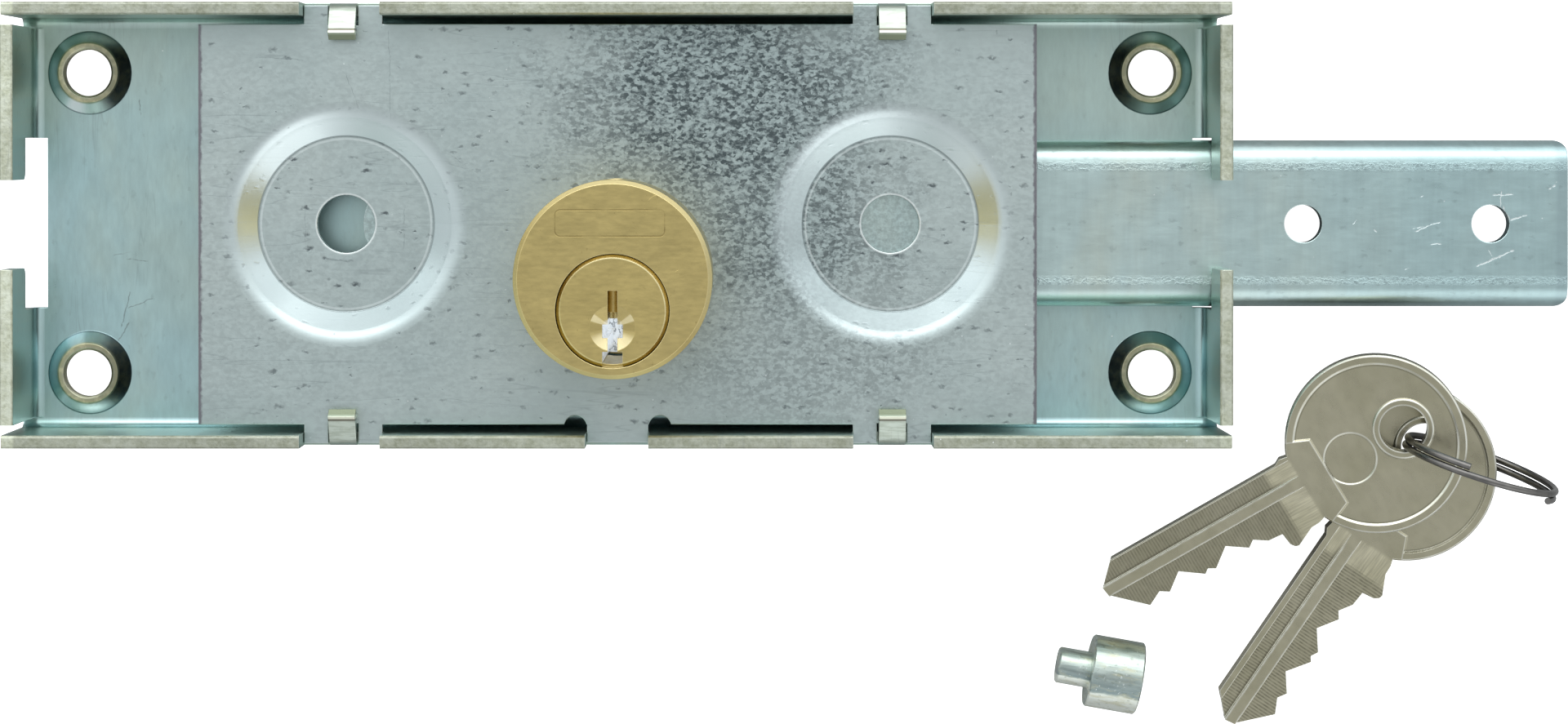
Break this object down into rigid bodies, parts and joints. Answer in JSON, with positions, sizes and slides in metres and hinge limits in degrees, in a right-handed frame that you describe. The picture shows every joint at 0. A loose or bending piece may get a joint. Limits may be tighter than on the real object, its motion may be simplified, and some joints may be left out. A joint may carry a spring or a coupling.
{
  "type": "roller shutter lock",
  "caption": "Flat sheet-steel roller shutter lock with a side bolt driven by a round pin cylinder, with its keys on a wire ring and a loose stepped stud.",
  "frame": {"origin": "centre of the case's back face, which is the face with the countersunk sides of the fixing holes", "axes": "+X along the case, the way the bolt is thrown; +Y across the case, away from the keyway's side; +Z from the back face towards the person who turns the key"},
  "size_m": [0.1926, 0.0901, 0.0315],
  "materials": {
    "zinc_case": "bright zinc plating with a faint blue and yellow tint",
    "galvanised_cover": "galvanised sheet with a fine dark spangle",
    "zinc_bolt": "zinc-plated sheet steel",
    "steel_inner": "plain zinc",
    "brass_cylinder": "turned, satin",
    "brass_plug": "turned, satin",
    "brass_pin": "turned",
    "spring_steel": "drawn wire",
    "nickel_key": "warm nickel plating, milled blade",
    "ring_wire": "dark drawn wire",
    "zinc_stud": "bright zinc"
  },
  "bodies": {
    "lock": {"case": "zinc_case", "cover_plate": "galvanised_cover", "guide_stud": "steel_inner", "cylinder_body": "brass_cylinder", "cylinder_screws": "steel_inner", "bore_plugs": "brass_cylinder", "driver_spring_1": "spring_steel", "driver_spring_2": "spring_steel", "driver_spring_3": "spring_steel", "driver_spring_4": "spring_steel", "driver_spring_5": "spring_steel"},
    "bolt": {"bolt": "zinc_bolt", "bolt_rack": "steel_inner", "rack_rivets": "steel_inner"},
    "plug": {"plug": "brass_plug", "plug_clip": "spring_steel", "drive_pinion": "steel_inner", "pinion_clip": "spring_steel"},
    "key_pin_1": {"key_pin_1": "brass_pin"},
    "key_pin_2": {"key_pin_2": "brass_pin"},
    "key_pin_3": {"key_pin_3": "brass_pin"},
    "key_pin_4": {"key_pin_4": "brass_pin"},
    "key_pin_5": {"key_pin_5": "brass_pin"},
    "driver_pin_1": {"driver_pin_1": "brass_pin"},
    "driver_pin_2": {"driver_pin_2": "brass_pin"},
    "driver_pin_3": {"driver_pin_3": "brass_pin"},
    "driver_pin_4": {"driver_pin_4": "brass_pin"},
    "driver_pin_5": {"driver_pin_5": "brass_pin"},
    "key_ring": {"key_ring": "ring_wire"},
    "key_1": {"key_1": "nickel_key"},
    "key_2": {"key_2": "nickel_key"},
    "coupling_stud": {"coupling_stud": "zinc_stud"}
  },
  "joints": [
    {"name": "bolt_slide", "type": "slide", "parent": "lock", "child": "bolt", "axis": [1, 0, 0], "range_m": [-0.03015, 0]},
    {"name": "plug_turn", "type": "hinge", "parent": "lock", "child": "plug", "pos_m": [0, -0.0098, 0.02], "axis": [0, 0, 1], "range_deg": [0, 360]},
    {"name": "key_pin_1_lift", "type": "slide", "parent": "plug", "child": "key_pin_1", "axis": [0, 1, 0], "range_m": [0, 0.0021]},
    {"name": "key_pin_2_lift", "type": "slide", "parent": "plug", "child": "key_pin_2", "axis": [0, 1, 0], "range_m": [0, 0.0011]},
    {"name": "key_pin_3_lift", "type": "slide", "parent": "plug", "child": "key_pin_3", "axis": [0, 1, 0], "range_m": [0, 0.00245]},
    {"name": "key_pin_4_lift", "type": "slide", "parent": "plug", "child": "key_pin_4", "axis": [0, 1, 0], "range_m": [0, 0.00095]},
    {"name": "key_pin_5_lift", "type": "slide", "parent": "plug", "child": "key_pin_5", "axis": [0, 1, 0], "range_m": [0, 0.00195]},
    {"name": "driver_pin_1_push", "type": "slide", "parent": "lock", "child": "driver_pin_1", "axis": [0, 1, 0], "range_m": [-0.0021, 0.0012], "stiffness_N_per_m": 120, "springref_m": -0.004, "deforming": ["driver_spring_1"]},
    {"name": "driver_pin_2_push", "type": "slide", "parent": "lock", "child": "driver_pin_2", "axis": [0, 1, 0], "range_m": [-0.0011, 0.0012], "stiffness_N_per_m": 120, "springref_m": -0.004, "deforming": ["driver_spring_2"]},
    {"name": "driver_pin_3_push", "type": "slide", "parent": "lock", "child": "driver_pin_3", "axis": [0, 1, 0], "range_m": [-0.00245, 0.0012], "stiffness_N_per_m": 120, "springref_m": -0.004, "deforming": ["driver_spring_3"]},
    {"name": "driver_pin_4_push", "type": "slide", "parent": "lock", "child": "driver_pin_4", "axis": [0, 1, 0], "range_m": [-0.00095, 0.0012], "stiffness_N_per_m": 120, "springref_m": -0.004, "deforming": ["driver_spring_4"]},
    {"name": "driver_pin_5_push", "type": "slide", "parent": "lock", "child": "driver_pin_5", "axis": [0, 1, 0], "range_m": [-0.00195, 0.0012], "stiffness_N_per_m": 120, "springref_m": -0.004, "deforming": ["driver_spring_5"]},
    {"name": "key_ring_lift", "type": "slide", "parent": "lock", "child": "key_ring", "axis": [0, 0, 1], "range_m": [0, 0.06]},
    {"name": "key_1_swing", "type": "hinge", "parent": "key_ring", "child": "key_1", "pos_m": [0.09705, -0.0252, 0.00842], "axis": [-0.1472, -0.0888, 0.9851], "range_deg": [-14, 0]},
    {"name": "key_2_swing", "type": "hinge", "parent": "key_ring", "child": "key_2", "pos_m": [0.10033, -0.02773, 0.00425], "axis": [-0.0405, -0.061, 0.9973], "range_deg": [0, 25]},
    {"name": "coupling_stud_lift", "type": "slide", "parent": "lock", "child": "coupling_stud", "axis": [0, 0, 1], "range_m": [0, 0.06]}
  ],
  "couplings": [
    {"joint": "plug_turn", "follows": "bolt_slide", "rad_per_m": -208.33}
  ]
}
